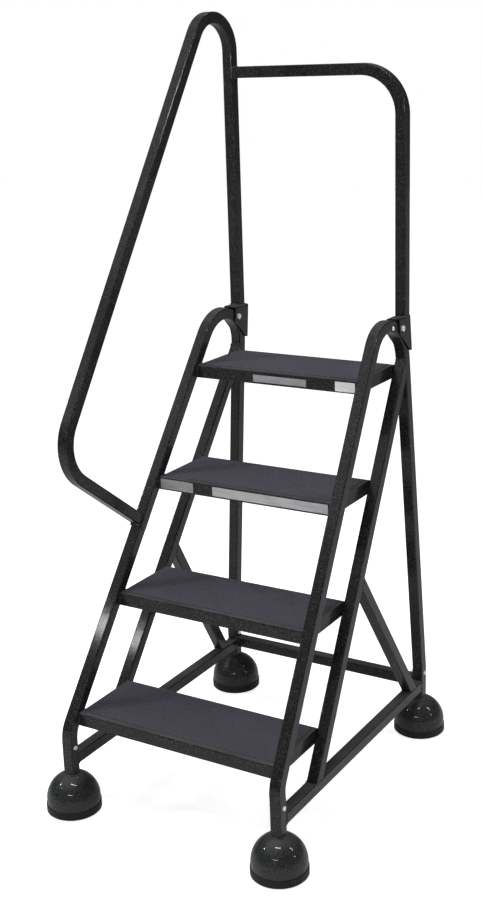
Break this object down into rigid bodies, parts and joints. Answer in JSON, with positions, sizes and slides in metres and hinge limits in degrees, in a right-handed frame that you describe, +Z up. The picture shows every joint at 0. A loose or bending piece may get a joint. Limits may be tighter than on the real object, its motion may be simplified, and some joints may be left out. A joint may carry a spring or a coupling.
{
  "type": "rolling library ladder",
  "caption": "Rolling step ladder with a welded tube frame, rubber topped steps, a one side handrail, a rear guard rail and sprung casters in bell feet.",
  "frame": {"origin": "on the floor at the middle of the footprint of the four feet", "axes": "+Z up, +Y from the climber towards the guard rail, +X to the climber's right"},
  "size_m": [0.7196, 0.9056, 1.8837],
  "materials": {
    "black_coat": "satin gloss powder coat",
    "bell_coat": "gloss powder coat",
    "step_mat": "matte ribbed rubber",
    "rim_rubber": "matte",
    "zinc_fastener": "bright zinc plate",
    "caster_zinc": "zinc plate",
    "spring_wire": "drawn wire",
    "nylon": "natural nylon",
    "wheel_tread": "matte"
  },
  "bodies": {
    "frame": {"left_side_frame": "black_coat", "right_side_frame": "black_coat", "left_rear_stringer": "black_coat", "right_rear_stringer": "black_coat", "left_base_rail": "black_coat", "right_base_rail": "black_coat", "left_brace": "black_coat", "right_brace": "black_coat", "rear_cross_rail": "black_coat", "step_1_pan": "black_coat", "step_2_pan": "black_coat", "step_3_pan": "black_coat", "step_4_pan": "black_coat", "step_1_mat": "step_mat", "step_2_mat": "step_mat", "step_3_mat": "step_mat", "step_4_mat": "step_mat", "left_post_bracket": "black_coat", "right_post_bracket": "black_coat", "left_handrail": "black_coat", "rear_guard_rail": "black_coat", "handrail_saddle": "black_coat", "leg_bolts": "zinc_fastener", "leg_nuts": "zinc_fastener", "bracket_bolts": "zinc_fastener", "bracket_nuts": "zinc_fastener", "saddle_bolt": "zinc_fastener", "side_screws": "zinc_fastener", "front_left_bell": "bell_coat", "front_right_bell": "bell_coat", "rear_left_bell": "bell_coat", "rear_right_bell": "bell_coat", "front_left_rim": "rim_rubber", "front_right_rim": "rim_rubber", "rear_left_rim": "rim_rubber", "rear_right_rim": "rim_rubber", "front_left_socket": "nylon", "front_right_socket": "nylon", "rear_left_socket": "nylon", "rear_right_socket": "nylon", "front_left_spring": "spring_wire", "front_right_spring": "spring_wire", "rear_left_spring": "spring_wire", "rear_right_spring": "spring_wire"},
    "front_left_stem_unit": {"front_left_stem": "caster_zinc"},
    "front_left_swivel": {"front_left_fork": "caster_zinc", "front_left_axle": "caster_zinc"},
    "front_left_roller": {"front_left_wheel": "wheel_tread"},
    "front_right_stem_unit": {"front_right_stem": "caster_zinc"},
    "front_right_swivel": {"front_right_fork": "caster_zinc", "front_right_axle": "caster_zinc"},
    "front_right_roller": {"front_right_wheel": "wheel_tread"},
    "rear_left_stem_unit": {"rear_left_stem": "caster_zinc"},
    "rear_left_swivel": {"rear_left_fork": "caster_zinc", "rear_left_axle": "caster_zinc"},
    "rear_left_roller": {"rear_left_wheel": "wheel_tread"},
    "rear_right_stem_unit": {"rear_right_stem": "caster_zinc"},
    "rear_right_swivel": {"rear_right_fork": "caster_zinc", "rear_right_axle": "caster_zinc"},
    "rear_right_roller": {"rear_right_wheel": "wheel_tread"}
  },
  "joints": [
    {"name": "front_left_plunge", "type": "slide", "parent": "frame", "child": "front_left_stem_unit", "axis": [0, 0, 1], "range_m": [0, 0.0045], "stiffness_N_per_m": 6000, "springref_m": -0.02, "deforming": ["front_left_spring"]},
    {"name": "front_left_swivel_turn", "type": "hinge", "parent": "front_left_stem_unit", "child": "front_left_swivel", "pos_m": [-0.292, -0.385, 0.0555], "axis": [0, 0, 1], "continuous": true},
    {"name": "front_left_wheel_roll", "type": "hinge", "parent": "front_left_swivel", "child": "front_left_roller", "pos_m": [-0.292, -0.365, 0.025], "axis": [1, 0, 0], "continuous": true},
    {"name": "front_right_plunge", "type": "slide", "parent": "frame", "child": "front_right_stem_unit", "axis": [0, 0, 1], "range_m": [0, 0.0045], "stiffness_N_per_m": 6000, "springref_m": -0.02, "deforming": ["front_right_spring"]},
    {"name": "front_right_swivel_turn", "type": "hinge", "parent": "front_right_stem_unit", "child": "front_right_swivel", "pos_m": [0.292, -0.385, 0.0555], "axis": [0, 0, 1], "continuous": true},
    {"name": "front_right_wheel_roll", "type": "hinge", "parent": "front_right_swivel", "child": "front_right_roller", "pos_m": [0.292, -0.365, 0.025], "axis": [1, 0, 0], "continuous": true},
    {"name": "rear_left_plunge", "type": "slide", "parent": "frame", "child": "rear_left_stem_unit", "axis": [0, 0, 1], "range_m": [0, 0.0045], "stiffness_N_per_m": 6000, "springref_m": -0.02, "deforming": ["rear_left_spring"]},
    {"name": "rear_left_swivel_turn", "type": "hinge", "parent": "rear_left_stem_unit", "child": "rear_left_swivel", "pos_m": [-0.292, 0.385, 0.0555], "axis": [0, 0, 1], "continuous": true},
    {"name": "rear_left_wheel_roll", "type": "hinge", "parent": "rear_left_swivel", "child": "rear_left_roller", "pos_m": [-0.292, 0.405, 0.025], "axis": [1, 0, 0], "continuous": true},
    {"name": "rear_right_plunge", "type": "slide", "parent": "frame", "child": "rear_right_stem_unit", "axis": [0, 0, 1], "range_m": [0, 0.0045], "stiffness_N_per_m": 6000, "springref_m": -0.02, "deforming": ["rear_right_spring"]},
    {"name": "rear_right_swivel_turn", "type": "hinge", "parent": "rear_right_stem_unit", "child": "rear_right_swivel", "pos_m": [0.292, 0.385, 0.0555], "axis": [0, 0, 1], "continuous": true},
    {"name": "rear_right_wheel_roll", "type": "hinge", "parent": "rear_right_swivel", "child": "rear_right_roller", "pos_m": [0.292, 0.405, 0.025], "axis": [1, 0, 0], "continuous": true}
  ]
}
